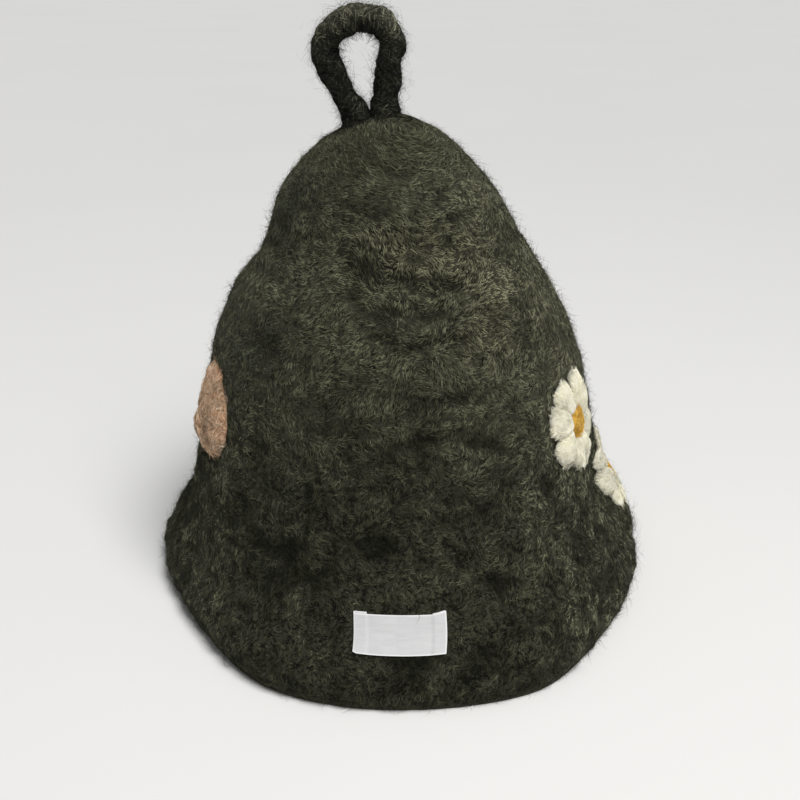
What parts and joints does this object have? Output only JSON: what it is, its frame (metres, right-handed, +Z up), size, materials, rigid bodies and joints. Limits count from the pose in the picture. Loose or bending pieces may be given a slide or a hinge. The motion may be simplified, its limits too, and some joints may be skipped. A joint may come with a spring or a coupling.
{
  "type": "felt sauna hat",
  "caption": "Bell-shaped felt hat with a domed, dented crown, a flared wavy brim, a teardrop hanging cord loop, a blank sewn label, puffy felt daisies and a soft felt patch.",
  "frame": {"origin": "on the floor that the rim rests on, under the middle of the hat's outline seen from above", "axes": "+Z up out of the crown; -Y is the back of the hat, with the label; +X is the wearer's right side, with the daisies"},
  "size_m": [0.3148, 0.3617, 0.3391],
  "materials": {
    "dark_felt": "matt, hairy hand-felted wool",
    "loop_felt": "matt, tightly rolled wool",
    "tan_felt": "matt, loose curly wool",
    "petal_felt": "matt, puffy wool",
    "eye_felt": "matt wool",
    "label_cloth": "fine plain weave"
  },
  "bodies": {
    "root": {"felt_body": "dark_felt", "hanging_loop": "loop_felt", "label": "label_cloth", "tan_patch": "tan_felt", "daisy_upper_petal_1": "petal_felt", "daisy_upper_petal_2": "petal_felt", "daisy_upper_petal_3": "petal_felt", "daisy_upper_petal_4": "petal_felt", "daisy_upper_petal_5": "petal_felt", "daisy_upper_petal_6": "petal_felt", "daisy_upper_petal_7": "petal_felt", "daisy_upper_petal_8": "petal_felt", "daisy_upper_centre": "eye_felt", "daisy_lower_petal_1": "petal_felt", "daisy_lower_petal_2": "petal_felt", "daisy_lower_petal_3": "petal_felt", "daisy_lower_petal_4": "petal_felt", "daisy_lower_petal_5": "petal_felt", "daisy_lower_petal_6": "petal_felt", "daisy_lower_petal_7": "petal_felt", "daisy_lower_petal_8": "petal_felt", "daisy_lower_centre": "eye_felt"}
  },
  "joints": []
}
